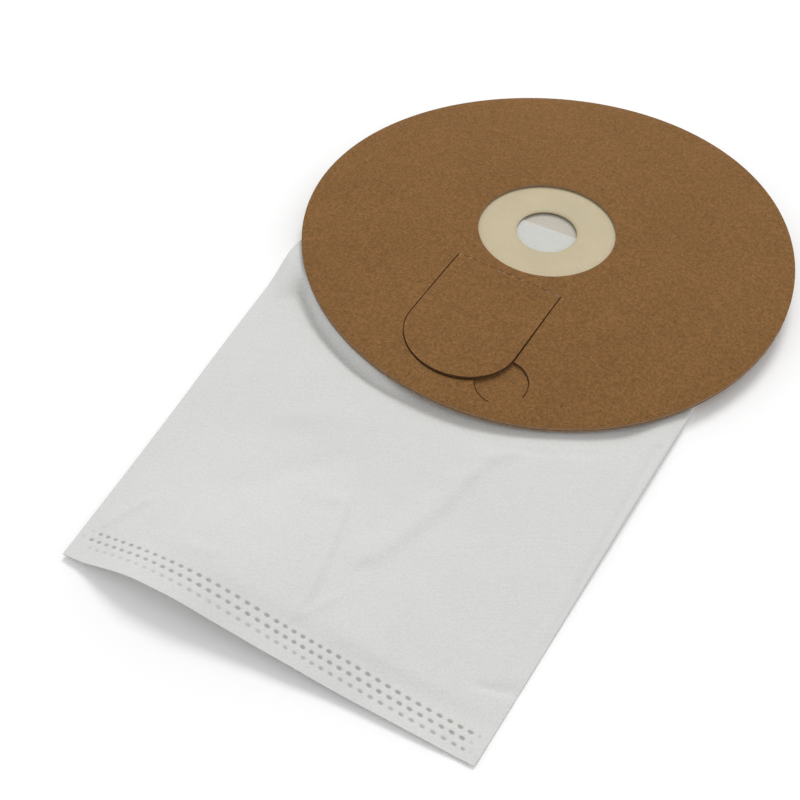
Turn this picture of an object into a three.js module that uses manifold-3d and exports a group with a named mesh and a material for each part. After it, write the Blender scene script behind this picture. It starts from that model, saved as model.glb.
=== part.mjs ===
import * as THREE from 'three';
import { mergeVertices } from 'three/addons/utils/BufferGeometryUtils.js';
import Module from 'manifold-3d';

const wasm = await Module();
wasm.setup();

// A dust bag lying on a table: a round kraft-board collar with a rubber seal,
// glued to the mouth of a flat side-gusseted bag of white non-woven cloth.
// Millimetres, +Z up. The bag runs along Y, its welded hem at the -Y end.
// Places are measured from the middle of the collar, and the last lines move
// the whole part so that its origin lies under the middle of its outline.

// Collar: two round boards glued face to face
const COLLAR_DIAMETER = 270;
const FRONT_BOARD_THICKNESS = 1.2;
const BACK_BOARD_THICKNESS = 1.2;
const OPENING_DIAMETER = 75;
const GLUE_LINE = 0.3;
const COLLAR_TURN_DEG = -3.7;

// Bow of the collar: flat round the opening, drooping towards the rim
const BOW_FLAT_RADIUS = 42;
const BOW_ACROSS = 9.4;
const BOW_ALONG = 3;
const BOW_AXIS_DEG = 41;
const BOW_GROWTH = 1.5;
const RIM_HEIGHT = 5.8;

// Rubber seal, set in a round window of the back board
const SEAL_DIAMETER = 90;
const SEAL_THICKNESS = 1.2;
const SEAL_HOLE_DIAMETER = 32;
const SEAL_LIP_ROUNDING = 0.4;
const SEAL_WINDOW_CLEARANCE = 0.5;

// Closing flap, die-cut in the front board: it folds over the opening
const FLAP_WIDTH = 61.5;
const FLAP_CREASE_DISTANCE = 43.2;
const FLAP_TIP_DISTANCE = 120;
const SLIT_WIDTH = 0.6;
const PERFORATION_CUT = 3.4;
const PERFORATION_BRIDGE = 1.9;

// Thumb tab, cut beside the flap's tip and left joined along its outer arc
const TAB_RADIUS = 13.5;
const TAB_BESIDE_FLAP = 0.8;
const TAB_ABOVE_TIP = 12.1;
const TAB_JOINED_FROM_DEG = -88;
const TAB_JOINED_TO_DEG = -10;

// Filter bag
const BAG_OFFSET_X = -3.6;
const HEM_DISTANCE = 290;
const HEM_WIDTH = 205;
const SHOULDER_DISTANCE = 75;
const SHOULDER_WIDTH = 233;
const END_DISTANCE = 78;
const END_WIDTH = 216;
const CLOTH_THICKNESS = 1;
const SEAM_THICKNESS = 1.8;
const MIDDLE_THICKNESS = 6.5;
const EDGE_THICKNESS = 4.6;
const EDGE_BEAD_WIDTH = 1.4;
const HEM_RISE_LENGTH = 150;
const END_RISE_LENGTH = 26;
const GUSSET_DEPTH = 20;
const GUSSET_GAP = 0.8;
const SEAM_GUSSET_DEPTH = 2;
const SEAM_GUSSET_GAP = 0.3;

// Waves of the hem, which stands off the table: heights at even places across
// the bag, at the cut edge and at the inner end of the weld
const HEM_WAVE_FROM_X = -108;
const HEM_WAVE_TO_X = 108;
const EDGE_WAVE_HEIGHTS = [
  1.4, 3.9, 8.9, 12.8, 13.5, 13.1, 10.9, 9.2, 7.4, 6.1, 4.3, 3.2, 2.7, 2.2, 1.5, 0.5, 0.2,
];
const WELD_WAVE_HEIGHTS = [
  1.4, 3.1, 4.9, 8.5, 11.6, 13.6, 13.6, 11.5, 8.7, 7.2, 6.6, 5, 2.1, 0.3, 0, 0, 0,
];
const HEM_WAVE_LENGTH = 112;

// Mouth of the bag, glued under the collar, which lifts the cloth off the table
const MOUTH_DIAMETER = 70;
const MOUTH_POCKET_HEIGHT = 5;
const GLUED_RADIUS = 54;
const FREE_RADIUS = 112;
const RIM_CLEARANCE = 0.5;
const RIM_PRESSED_WIDTH = 14;
const ARCH_FOOT_RADIUS = 92;
const POCKET_HEM_MARGIN = 45;
const POCKET_END_MARGIN = 14;
const POCKET_GUSSET_MARGIN = 4;

// Hem weld: rows of short pressed dashes, slightly askew to the cut edge
const WELD_ROW_DISTANCES = [6.1, 10.1, 14.1];
const WELD_SKEW_DEG = -1;
const WELD_DASHES = 42;
const WELD_PITCH = 4.7;
const WELD_DASH_LENGTH = 2.8;
const WELD_DASH_WIDTH = 1.4;
const WELD_DASH_DEPTH = 0.5;
const WELD_MIDDLE_X = -5.4;
const WELD_STAGGER = 0.5;
const WELD_BAND = 20;

// Soft folds pressed in the front cloth: start, end, height and half-width
const FOLDS = [
  { from: [-8, -196], to: [-2, -252], height: 1.1, spread: 6 },
  { from: [16, -150], to: [34, -182], height: -0.8, spread: 5 },
  { from: [34, -182], to: [20, -200], height: -0.7, spread: 5 },
  { from: [-103, -262], to: [-90, -246], height: 0.7, spread: 5 },
  { from: [-60, -120], to: [-66, -210], height: 0.6, spread: 12 },
  { from: [104, -96], to: [99, -225], height: -0.5, spread: 3.5 },
];

// Fineness of the faceted surfaces
const COLLAR_SEGMENTS = 64;
const COLLAR_RINGS = 4;
const ARC_SEGMENTS = 12;
const FRONT_COLUMNS = 23;
const BACK_COLUMNS = 18;
const POCKET_COLUMNS = 13;

const COLORS = {
  frontBoard: 0x85613d,
  backBoard: 0x6e5540,
  seal: 0xc7ba99,
  cloth: 0xd7d7d5,
};

const { lerp, smoothstep, clamp, degToRad, mapLinear } = THREE.MathUtils;

const collarRadius = COLLAR_DIAMETER / 2;
const collarUnderside = RIM_HEIGHT + BOW_ACROSS;
const backBoardTop = collarUnderside + BACK_BOARD_THICKNESS;
const frontBoardUnderside = backBoardTop + GLUE_LINE;
const mouthTop = collarUnderside - GLUE_LINE;

// Droop of the collar at a place given in the collar's own frame
function collarDroop(x, y) {
  const radius = Math.hypot(x, y);
  if (radius <= BOW_FLAT_RADIUS) return 0;
  const fromAxis = Math.atan2(y, x) - degToRad(BOW_AXIS_DEG);
  const along = BOW_ALONG * Math.cos(fromAxis) ** 2;
  const across = BOW_ACROSS * Math.sin(fromAxis) ** 2;
  const outward = (radius - BOW_FLAT_RADIUS) / (collarRadius - BOW_FLAT_RADIUS);
  return (along + across) * Math.min(outward, 1) ** BOW_GROWTH;
}

// The same droop at a place given in the bag's frame
function droopOverBag(x, y) {
  const place = new THREE.Vector2(x, y).rotateAround(new THREE.Vector2(), -degToRad(COLLAR_TURN_DEG));
  return collarDroop(place.x, place.y);
}

function toSolid(geometry) {
  const bare = geometry.clone();
  bare.deleteAttribute('normal');
  bare.deleteAttribute('uv');
  const merged = mergeVertices(bare, 1e-4);
  return new wasm.Manifold(new wasm.Mesh({
    numProp: 3,
    vertProperties: new Float32Array(merged.attributes.position.array),
    triVerts: new Uint32Array(merged.index.array),
  }));
}

function toGeometry(solid) {
  const mesh = solid.getMesh();
  const geometry = new THREE.BufferGeometry();
  geometry.setAttribute('position', new THREE.BufferAttribute(new Float32Array(mesh.vertProperties), 3));
  geometry.setIndex(new THREE.BufferAttribute(new Uint32Array(mesh.triVerts), 1));
  geometry.computeVertexNormals();
  return geometry;
}

function makeMesh(name, geometry, color, roughness) {
  const material = new THREE.MeshStandardMaterial({ color, roughness, metalness: 0 });
  const mesh = new THREE.Mesh(geometry, material);
  mesh.name = name;
  return mesh;
}

// Revolves a closed profile of [radius, height] points about Z
function revolve(profile, segments) {
  const points = profile.map(([radius, height]) => new THREE.Vector2(radius, height));
  points.push(points[0].clone());
  return new THREE.LatheGeometry(points, segments).rotateX(Math.PI / 2);
}

// Lets a collar piece follow the bow: each point drops by the droop at its place
function bow(geometry) {
  const position = geometry.attributes.position;
  for (let i = 0; i < position.count; i += 1) {
    const droop = collarDroop(position.getX(i), position.getY(i));
    position.setZ(i, position.getZ(i) - droop);
  }
  return geometry;
}

const openingRadius = OPENING_DIAMETER / 2;
const sealWindowRadius = SEAL_DIAMETER / 2 + SEAL_WINDOW_CLEARANCE;

// A bowed round board with a round window, its underside at the given height
function boardBlank(windowRadius, underside, thickness) {
  const innerRadii = [openingRadius, BOW_FLAT_RADIUS, sealWindowRadius];
  const radii = innerRadii.filter((radius) => radius >= windowRadius);
  for (let i = 0; i <= COLLAR_RINGS; i += 1) {
    radii.push(lerp(GLUED_RADIUS, collarRadius, i / COLLAR_RINGS));
  }
  const lower = radii.map((radius) => [radius, underside]);
  const upper = radii.map((radius) => [radius, underside + thickness]).reverse();
  return bow(revolve([...lower, ...upper], COLLAR_SEGMENTS));
}

// An upright cutter with the given outline, taller than the whole collar
function uprightCutter(shape) {
  const settings = { depth: 4 * collarUnderside, bevelEnabled: false, curveSegments: ARC_SEGMENTS };
  const cutter = new THREE.ExtrudeGeometry(shape, settings);
  return toSolid(cutter.translate(0, 0, -collarUnderside));
}

function ringArcShape(x, y, radius, fromAngle, toAngle) {
  const shape = new THREE.Shape();
  shape.absarc(x, y, radius + SLIT_WIDTH / 2, fromAngle, toAngle, false);
  shape.absarc(x, y, radius - SLIT_WIDTH / 2, toAngle, fromAngle, true);
  shape.closePath();
  return shape;
}

const flapHalfWidth = FLAP_WIDTH / 2;
const flapArcY = flapHalfWidth - FLAP_TIP_DISTANCE;

// The flap's slit: down one side, round the tip and up the other side
function flapSlit() {
  const outer = flapHalfWidth + SLIT_WIDTH / 2;
  const inner = flapHalfWidth - SLIT_WIDTH / 2;
  const shape = new THREE.Shape();
  shape.moveTo(-outer, -FLAP_CREASE_DISTANCE);
  shape.lineTo(-outer, flapArcY);
  shape.absarc(0, flapArcY, outer, Math.PI, 2 * Math.PI, false);
  shape.lineTo(outer, -FLAP_CREASE_DISTANCE);
  shape.lineTo(inner, -FLAP_CREASE_DISTANCE);
  shape.lineTo(inner, flapArcY);
  shape.absarc(0, flapArcY, inner, 2 * Math.PI, Math.PI, true);
  shape.lineTo(-inner, -FLAP_CREASE_DISTANCE);
  shape.closePath();
  return uprightCutter(shape);
}

// The crease: a row of short cuts with bridges of board between them
function creasePerforation() {
  const step = PERFORATION_CUT + PERFORATION_BRIDGE;
  const count = Math.floor((FLAP_WIDTH - PERFORATION_BRIDGE) / step);
  const cuts = [];
  for (let i = 0; i < count; i += 1) {
    const x = (i - (count - 1) / 2) * step;
    const cut = new THREE.BoxGeometry(PERFORATION_CUT, SLIT_WIDTH, 4 * collarUnderside);
    cuts.push(toSolid(cut.translate(x, -FLAP_CREASE_DISTANCE, collarUnderside)));
  }
  return cuts;
}

// The thumb tab's two arcs, from the flap's edge to the stretch that stays joined
function thumbTabSlits() {
  const x = flapHalfWidth + TAB_BESIDE_FLAP;
  const y = TAB_ABOVE_TIP - FLAP_TIP_DISTANCE;
  const toFlap = Math.atan2(flapArcY - y, -x);
  const distance = Math.hypot(x, y - flapArcY);
  const reach = (distance ** 2 + TAB_RADIUS ** 2 - flapHalfWidth ** 2) / (2 * distance * TAB_RADIUS);
  const halfAngle = Math.acos(reach);
  const joinedFrom = degToRad(TAB_JOINED_FROM_DEG);
  const joinedTo = degToRad(TAB_JOINED_TO_DEG);
  const beside = ringArcShape(x, y, TAB_RADIUS, joinedTo, toFlap - halfAngle);
  const below = ringArcShape(x, y, TAB_RADIUS, toFlap + halfAngle, joinedFrom + 2 * Math.PI);
  return [uprightCutter(beside), uprightCutter(below)];
}

function makeFrontBoard() {
  const blank = boardBlank(openingRadius, frontBoardUnderside, FRONT_BOARD_THICKNESS);
  const cutters = [flapSlit(), ...creasePerforation(), ...thumbTabSlits()];
  const board = cutters.reduce((solid, cutter) => solid.subtract(cutter), toSolid(blank));
  return makeMesh('front_board', toGeometry(board), COLORS.frontBoard, 0.85);
}

function makeBackBoard() {
  const blank = boardBlank(sealWindowRadius, collarUnderside, BACK_BOARD_THICKNESS);
  return makeMesh('back_board', toGeometry(toSolid(blank)), COLORS.backBoard, 0.9);
}

function makeSeal() {
  const bottom = backBoardTop - SEAL_THICKNESS;
  const hole = SEAL_HOLE_DIAMETER / 2;
  const outer = SEAL_DIAMETER / 2;
  const rounding = SEAL_LIP_ROUNDING;
  const profile = [
    [hole + rounding, bottom],
    [BOW_FLAT_RADIUS, bottom],
    [outer, bottom],
    [outer, backBoardTop],
    [BOW_FLAT_RADIUS, backBoardTop],
    [openingRadius - SEAL_WINDOW_CLEARANCE, backBoardTop],
    [hole + rounding, backBoardTop],
    [hole, backBoardTop - rounding],
    [hole, bottom + rounding],
  ];
  const ring = bow(revolve(profile, COLLAR_SEGMENTS));
  return makeMesh('rubber_seal', toGeometry(toSolid(ring)), COLORS.seal, 0.6);
}

// Bag outline: tapering from the shoulder under the collar to the hem
function bagHalfWidth(y) {
  if (y < -SHOULDER_DISTANCE) {
    return mapLinear(y, -HEM_DISTANCE, -SHOULDER_DISTANCE, HEM_WIDTH, SHOULDER_WIDTH) / 2;
  }
  return lerp(SHOULDER_WIDTH, END_WIDTH, smoothstep(y, -SHOULDER_DISTANCE, END_DISTANCE)) / 2;
}

// How far the bag has opened out from its welded ends: 0 in a seam, 1 in the middle
function bagFill(y) {
  const fromHem = smoothstep(y, WELD_BAND - HEM_DISTANCE, WELD_BAND - HEM_DISTANCE + HEM_RISE_LENGTH);
  const fromEnd = 1 - smoothstep(y, END_DISTANCE - END_RISE_LENGTH, END_DISTANCE - POCKET_END_MARGIN / 2);
  return fromHem * fromEnd;
}

function heightCurve(heights) {
  return new THREE.SplineCurve(heights.map((height, i) => new THREE.Vector2(i, height)));
}

const edgeWave = heightCurve(EDGE_WAVE_HEIGHTS);
const weldWave = heightCurve(WELD_WAVE_HEIGHTS);

// Height of the hem's waves at a place, dying out along the bag
function hemWave(x, y) {
  const across = clamp(mapLinear(x, HEM_WAVE_FROM_X, HEM_WAVE_TO_X, 0, 1), 0, 1);
  const inward = clamp((y + HEM_DISTANCE) / WELD_BAND, 0, 1);
  const height = lerp(edgeWave.getPoint(across).y, weldWave.getPoint(across).y, inward);
  const fade = 1 - smoothstep(y, WELD_BAND - HEM_DISTANCE, HEM_WAVE_LENGTH - HEM_DISTANCE);
  return Math.max(height, 0) * fade;
}

function foldHeight(x, y) {
  const place = new THREE.Vector2(x, y);
  let height = 0;
  for (const fold of FOLDS) {
    const start = new THREE.Vector2(...fold.from);
    const run = new THREE.Vector2(...fold.to).sub(start);
    const share = clamp(place.clone().sub(start).dot(run) / run.lengthSq(), 0, 1);
    const away = place.distanceTo(start.addScaledVector(run, share));
    height += fold.height * Math.exp(-((away / fold.spread) ** 2));
  }
  return height * bagFill(y);
}

// Height of the back cloth's outer face: on the table, arched under the mouth
function bagUnderside(x, y) {
  const pinned = (1 - smoothstep(Math.hypot(x, y), GLUED_RADIUS, ARCH_FOOT_RADIUS)) * heldShare(y);
  const archTop = mouthTop - MOUTH_POCKET_HEIGHT - 2 * CLOTH_THICKNESS;
  return lerp(hemWave(x, y), archTop - droopOverBag(x, y), pinned);
}

// Height of the front cloth's outer face: glued to the collar round the mouth
function bagTop(x, y) {
  const across = Math.abs(x - BAG_OFFSET_X) / bagHalfWidth(y);
  const crown = 1 - across ** 4;
  const open = lerp(EDGE_THICKNESS, MIDDLE_THICKNESS, crown);
  const free = hemWave(x, y) + lerp(SEAM_THICKNESS, open, bagFill(y)) + foldHeight(x, y);
  const radius = Math.hypot(x, y);
  const underCollar = mouthTop - droopOverBag(x, y);
  const held = (1 - smoothstep(radius, GLUED_RADIUS, FREE_RADIUS)) * heldShare(y);
  const height = lerp(free, underCollar, held);
  const limit = underCollar - RIM_CLEARANCE * smoothstep(radius, GLUED_RADIUS, FREE_RADIUS);
  return radius < collarRadius + RIM_PRESSED_WIDTH ? Math.min(height, limit) : height;
}

// Lets the front cloth come down from the collar to the seam at the far end
function heldShare(y) {
  return 1 - smoothstep(y, GLUED_RADIUS - CLOTH_THICKNESS, END_DISTANCE - POCKET_END_MARGIN / 2);
}

// The bag's cross-section at y as [x, z] points: back cloth, gusset, front cloth, gusset
function bagSection(y) {
  const half = bagHalfWidth(y);
  const fill = bagFill(y);
  const depth = lerp(SEAM_GUSSET_DEPTH, GUSSET_DEPTH, fill);
  const gap = lerp(SEAM_GUSSET_GAP, GUSSET_GAP, fill);
  const flat = half - EDGE_BEAD_WIDTH;
  const back = columns(BACK_COLUMNS, flat).map((x) => [x, bagUnderside(x, y)]);
  const front = columns(FRONT_COLUMNS, flat).map((x) => [x, bagTop(x, y)]).reverse();
  const gusset = (side) => {
    const edge = BAG_OFFSET_X + side * half;
    const low = bagUnderside(BAG_OFFSET_X + side * flat, y);
    const high = bagTop(BAG_OFFSET_X + side * flat, y);
    const middle = (low + high) / 2;
    return [
      [edge, lerp(low, middle, 0.5)],
      [edge - side * EDGE_BEAD_WIDTH / 3, middle - gap / 2],
      [edge - side * depth, middle - gap / 6],
      [edge - side * depth, middle + gap / 6],
      [edge - side * EDGE_BEAD_WIDTH / 3, middle + gap / 2],
      [edge, lerp(middle, high, 0.5)],
    ];
  };
  return [...back, ...gusset(1), ...front, ...gusset(-1).reverse()];
}

// Places across the bag, closer together towards the side folds
function columns(count, half) {
  const places = [];
  for (let i = 0; i <= count; i += 1) {
    places.push(BAG_OFFSET_X + half * Math.sin(mapLinear(i, 0, count, -1, 1) * 1.2) / Math.sin(1.2));
  }
  return places;
}

// The hollow between the two cloths, clear of the gussets and the seams
function pocketSection(y) {
  const half = bagHalfWidth(y) - GUSSET_DEPTH - POCKET_GUSSET_MARGIN;
  const places = columns(POCKET_COLUMNS, half);
  const floor = (x) => bagUnderside(x, y) + CLOTH_THICKNESS;
  const lower = places.map((x) => [x, floor(x)]);
  const upper = places.map((x) => [x, Math.max(bagTop(x, y) - CLOTH_THICKNESS, floor(x) + GLUE_LINE)]);
  return [...lower, ...upper.reverse()];
}

// Joins like sections at several stations into one closed body
function loft(stations, sectionAt) {
  const sections = stations.map(sectionAt);
  const size = sections[0].length;
  const vertices = sections.flatMap((section, i) => section.flatMap(([x, z]) => [x, stations[i], z]));
  const faces = [];
  for (let i = 0; i + 1 < sections.length; i += 1) {
    for (let j = 0; j < size; j += 1) {
      const next = (j + 1) % size;
      const [a, b] = [i * size + j, i * size + next];
      const [c, d] = [a + size, b + size];
      faces.push(a, d, b, a, c, d);
    }
  }
  const capAt = (i, flipped) => {
    const outline = sections[i].map(([x, z]) => new THREE.Vector2(x, z));
    for (const [a, b, c] of THREE.ShapeUtils.triangulateShape(outline, [])) {
      const corners = flipped ? [c, b, a] : [a, b, c];
      faces.push(...corners.map((corner) => i * size + corner));
    }
  };
  capAt(0, false);
  capAt(sections.length - 1, true);
  const geometry = new THREE.BufferGeometry();
  geometry.setAttribute('position', new THREE.Float32BufferAttribute(vertices, 3));
  geometry.setIndex(faces);
  return geometry;
}

// Stations along the bag: few in the seams, closer where the cloth bends
function bagStations() {
  const runs = [
    [-HEM_DISTANCE, WELD_BAND - HEM_DISTANCE, 1],
    [WELD_BAND - HEM_DISTANCE, -FREE_RADIUS, 13],
    [-FREE_RADIUS, -ARCH_FOOT_RADIUS, 2],
    [-ARCH_FOOT_RADIUS, -GLUED_RADIUS, 4],
    [-GLUED_RADIUS, GLUED_RADIUS, 11],
    [GLUED_RADIUS, END_DISTANCE, 5],
  ];
  const stations = [-HEM_DISTANCE];
  for (const [from, to, steps] of runs) {
    for (let i = 1; i <= steps; i += 1) stations.push(lerp(from, to, i / steps));
  }
  return stations;
}

function pocketStations() {
  const from = POCKET_HEM_MARGIN - HEM_DISTANCE;
  const to = END_DISTANCE - POCKET_END_MARGIN;
  return [from, ...bagStations().filter((y) => y > from && y < to), to];
}

// Rows of dashes along the hem, each second row set over by half a pitch
function weldDashes() {
  const skew = degToRad(WELD_SKEW_DEG);
  const dashes = [];
  WELD_ROW_DISTANCES.forEach((distance, row) => {
    const shift = (row % 2) * WELD_STAGGER - (WELD_DASHES - 1) / 2;
    for (let i = 0; i < WELD_DASHES; i += 1) {
      const along = (i + shift) * WELD_PITCH;
      const x = WELD_MIDDLE_X + along;
      const y = distance - HEM_DISTANCE + along * Math.tan(skew);
      const reach = WELD_DASH_LENGTH / 2;
      const slope = (bagTop(x + reach, y) - bagTop(x - reach, y)) / WELD_DASH_LENGTH;
      const dash = new THREE.BoxGeometry(WELD_DASH_LENGTH, WELD_DASH_WIDTH, 2 * WELD_DASH_DEPTH);
      dash.rotateY(-Math.atan(slope)).rotateZ(skew);
      dashes.push(toSolid(dash.translate(x, y, bagTop(x, y))));
    }
  });
  return wasm.Manifold.union(dashes);
}

function makeFilterBag() {
  const cloth = toSolid(loft(bagStations(), bagSection));
  const pocket = toSolid(loft(pocketStations(), pocketSection));
  const mouth = new THREE.CylinderGeometry(MOUTH_DIAMETER / 2, MOUTH_DIAMETER / 2, MOUTH_POCKET_HEIGHT, 40);
  mouth.rotateX(Math.PI / 2).translate(0, 0, mouthTop);
  const bag = cloth.subtract(pocket).subtract(toSolid(mouth)).subtract(weldDashes());
  return makeMesh('filter_bag', toGeometry(bag), COLORS.cloth, 0.95);
}

const collar = new THREE.Group();
collar.rotation.z = degToRad(COLLAR_TURN_DEG);
collar.add(makeFrontBoard(), makeBackBoard(), makeSeal());

const dustBag = new THREE.Group();
dustBag.add(collar, makeFilterBag());
dustBag.position.y = (HEM_DISTANCE - collarRadius) / 2;

export default dustBag;
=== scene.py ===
import math

import bpy
import numpy as np
from bpy.props import FloatProperty, FloatVectorProperty, IntProperty, PointerProperty
from bpy.types import Operator, Panel, PropertyGroup
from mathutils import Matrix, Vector, noise


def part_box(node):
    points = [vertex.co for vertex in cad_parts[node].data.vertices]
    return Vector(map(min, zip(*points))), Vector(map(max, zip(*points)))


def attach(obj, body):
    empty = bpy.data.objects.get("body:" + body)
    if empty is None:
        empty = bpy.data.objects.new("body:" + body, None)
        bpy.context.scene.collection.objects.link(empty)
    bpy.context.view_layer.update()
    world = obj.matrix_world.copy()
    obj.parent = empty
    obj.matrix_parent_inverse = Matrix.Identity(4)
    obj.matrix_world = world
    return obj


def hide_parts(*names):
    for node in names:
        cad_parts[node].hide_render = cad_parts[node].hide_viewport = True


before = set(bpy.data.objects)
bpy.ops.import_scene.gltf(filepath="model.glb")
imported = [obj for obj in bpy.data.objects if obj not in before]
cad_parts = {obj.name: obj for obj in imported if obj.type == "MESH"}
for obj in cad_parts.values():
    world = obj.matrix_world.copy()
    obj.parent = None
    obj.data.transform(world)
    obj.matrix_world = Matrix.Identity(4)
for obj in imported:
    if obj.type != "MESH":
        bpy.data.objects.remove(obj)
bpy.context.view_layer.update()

bl_info = {
    "name": "Dust bag with a board collar",
    "version": (1, 0, 0),
    "blender": (4, 5, 0),
    "location": "3D View > Sidebar > Dust bag",
    "description": "Models a flat cloth dust bag with a round kraft-board collar",
    "category": "Add Mesh",
}

SEAL_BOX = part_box("rubber_seal")
BOARD_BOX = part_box("front_board")

MM = 0.001
# The collar's middle on the table, from which places on the collar and the bag are measured
COLLAR_MIDDLE = (SEAL_BOX[0] + SEAL_BOX[1]) / 2
COLLAR_MIDDLE.z = 0
COLLAR_TURN = math.radians(-3.7)

# Bow of the collar: flat round the opening, drooping towards the rim
BOW_FLAT_RADIUS = 42 * MM
BOW_RADIUS = 135 * MM
BOW_ALONG = 3 * MM
BOW_ACROSS = 9.4 * MM
BOW_AXIS = math.radians(41)
BOW_GROWTH = 1.5
# Tops of the front cloth and of the back cloth under the middle of the collar
MOUTH_TOP = 14.9 * MM
ARCH_TOP = 7.9 * MM
GLUE_LINE = 0.3 * MM

# Cuts in the front board: the rounded edge beside each slit, the crease's perforations,
# and the thumb tab's middle, the ends of its two arcs and the way that it is pressed
SCOOP_HEIGHT, SCOOP_WIDTH = 0.28 * MM, 0.8 * MM
PERFORATION_STEP, PERFORATION_HALF, PERFORATION_WIDTH = 5.3 * MM, 1.7 * MM, 0.3 * MM
CREASE_MARGIN = 1.9 * MM
TAB_PAST_FLAP, TAB_FROM_TIP = 0.8 * MM, 12.1 * MM
TAB_ENDS = (math.radians(-10), math.radians(-88) + 2 * math.pi)
TAB_OUTWARD = math.radians(-49)
FLAP_TWIST = 1.5

# The seal's lip thins towards the hose hole
LIP_REACH = 2.5 * MM
LIP_THINNING = 0.45 * MM
LIP_ROUNDING = 0.3 * MM

# Outline and thickness of the bag, measured from the collar's middle
BAG_OFFSET = -3.6 * MM
HEM = -290 * MM
FAR_END = 78 * MM
SHOULDER = -75 * MM
EDGE_BEAD = 1.4 * MM
GUSSET_GAP = 0.8 * MM
SEAM_GAP = 0.06 * MM
SEAM_MIDDLE = 0.5 * MM
SEAM_SIDE = 1.0 * MM
SEAM_GUSSET = 3 * MM
WELD_BAND = 20 * MM
HEM_RISE = 150 * MM
END_RISE = 26 * MM
END_SEAM = 7 * MM
GLUED_RADIUS = 54 * MM
FREE_RADIUS = 112 * MM
ARCH_FOOT_RADIUS = 92 * MM
MOUTH_RADIUS = 35 * MM
HEM_CLOTH = 0.22 * MM
WELD_THINNING = 0.1 * MM
BACK_COLUMNS = 49
BEAD_STEPS = 8
GUSSET_STEPS = 7

# The back cloth's pleat under the hose hole: its rise, and its sharp step across the bag
PLEAT_RISE = 5.7 * MM
PLEAT_STEP = 0.6 * MM
# Front cloth lies above this height inside the mouth, and the raised back cloth below it
MOUTH_CUT = ARCH_TOP + 6.6 * MM

# How far the cloth swells beyond the weld, at the left and at the right, and how it is crumpled
SWELL_LEFT, SWELL_RIGHT = 0.25 * MM, 1.6 * MM
CRUMPLE = 0.55 * MM

# Rows of weld dashes: distance from the hem, shift in mesh columns, first and last dash,
# and how firmly the left and the right end are pressed
WELD_ROWS = (
    (6.1, 0, 0, 42, 0.42, 0.78),
    (10.1, 3, -1, 41, 0.78, 1.0),
    (14.1, 0, 0, 42, 0.8, 1.0),
)
WELD_SLOPE = math.tan(math.radians(-1.0))
WELD_MIDDLE = -5.4 * MM
WELD_COLUMNS = 262
WELD_FROM, WELD_TO = -105.77 * MM, 99.46 * MM
WELD_STEP = 6
WELD_FIRST = 5
# How far the dashes are off even places, in millimetres: the cloth is gathered at the middle
WELD_DRIFT = (0.8, 0, -0.4, -0.7, -0.6, 0.2, 0.9, 1.5, 0.5, -0.8, -0.9, -0.6, -0.3, 0.4, 0.4)
WELD_DRIFT_FROM, WELD_DRIFT_TO = -102 * MM, 94 * MM
DASH_ROWS = (-1.35, -0.95, -0.6, 0.0, 0.6, 0.95, 1.35)
DASH_LENGTH = 3.1
DASH_WIDTH = 2.0
DASH_DEPTH = 0.22 * MM
FAINT_END = 0.4
UNEVENNESS = 0.16
# The rows fan out towards the right, by this much over their length
WELD_FAN = 1.8 * MM

# Waves of the hem: heights in millimetres at even places across the bag,
# at the cut edge and at the inner end of the weld
HEM_WAVE_FROM, HEM_WAVE_TO = -108 * MM, 108 * MM
EDGE_WAVE = (
    1.4, 3.9, 8.9, 12.8, 13.5, 13.1, 10.9, 9.2, 7.4, 6.1, 4.3, 3.2, 2.7, 2.2, 1.5, 0.5, 0.2
)
WELD_WAVE = (1.4, 4.5, 7.8, 10.6, 12.8, 13.9, 13.6, 11.5, 8.7, 7.2, 6.6, 5, 2.1, 0.3, 0, 0, 0)
HEM_WAVE_LENGTH = 112 * MM

# Where round the collar, in degrees, the cloth is held up by the rim, and where it dips beside it:
# start and full at one side, full and end at the other
RIM_HELD = (-160, -144, -112, -92)
RIM_DIP = (-165, -135, -45, -25)
# The strip that the rim holds up falls off between these radii, farther out at the bag's sides
STRIP_START, STRIP_END, STRIP_END_AT_SIDE = 133.8 * MM, 138.6 * MM, 156 * MM
BAG_SIDE = (0.8, 0.94)
# The dip and the sharper crease in it: radius and reach, both as deep
RIM_DEPTH = 2.2 * MM
DIP_RADIUS, DIP_REACH = 137 * MM, 8 * MM
CREASE_RADIUS, CREASE_REACH = 138.8 * MM, 3 * MM

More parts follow.
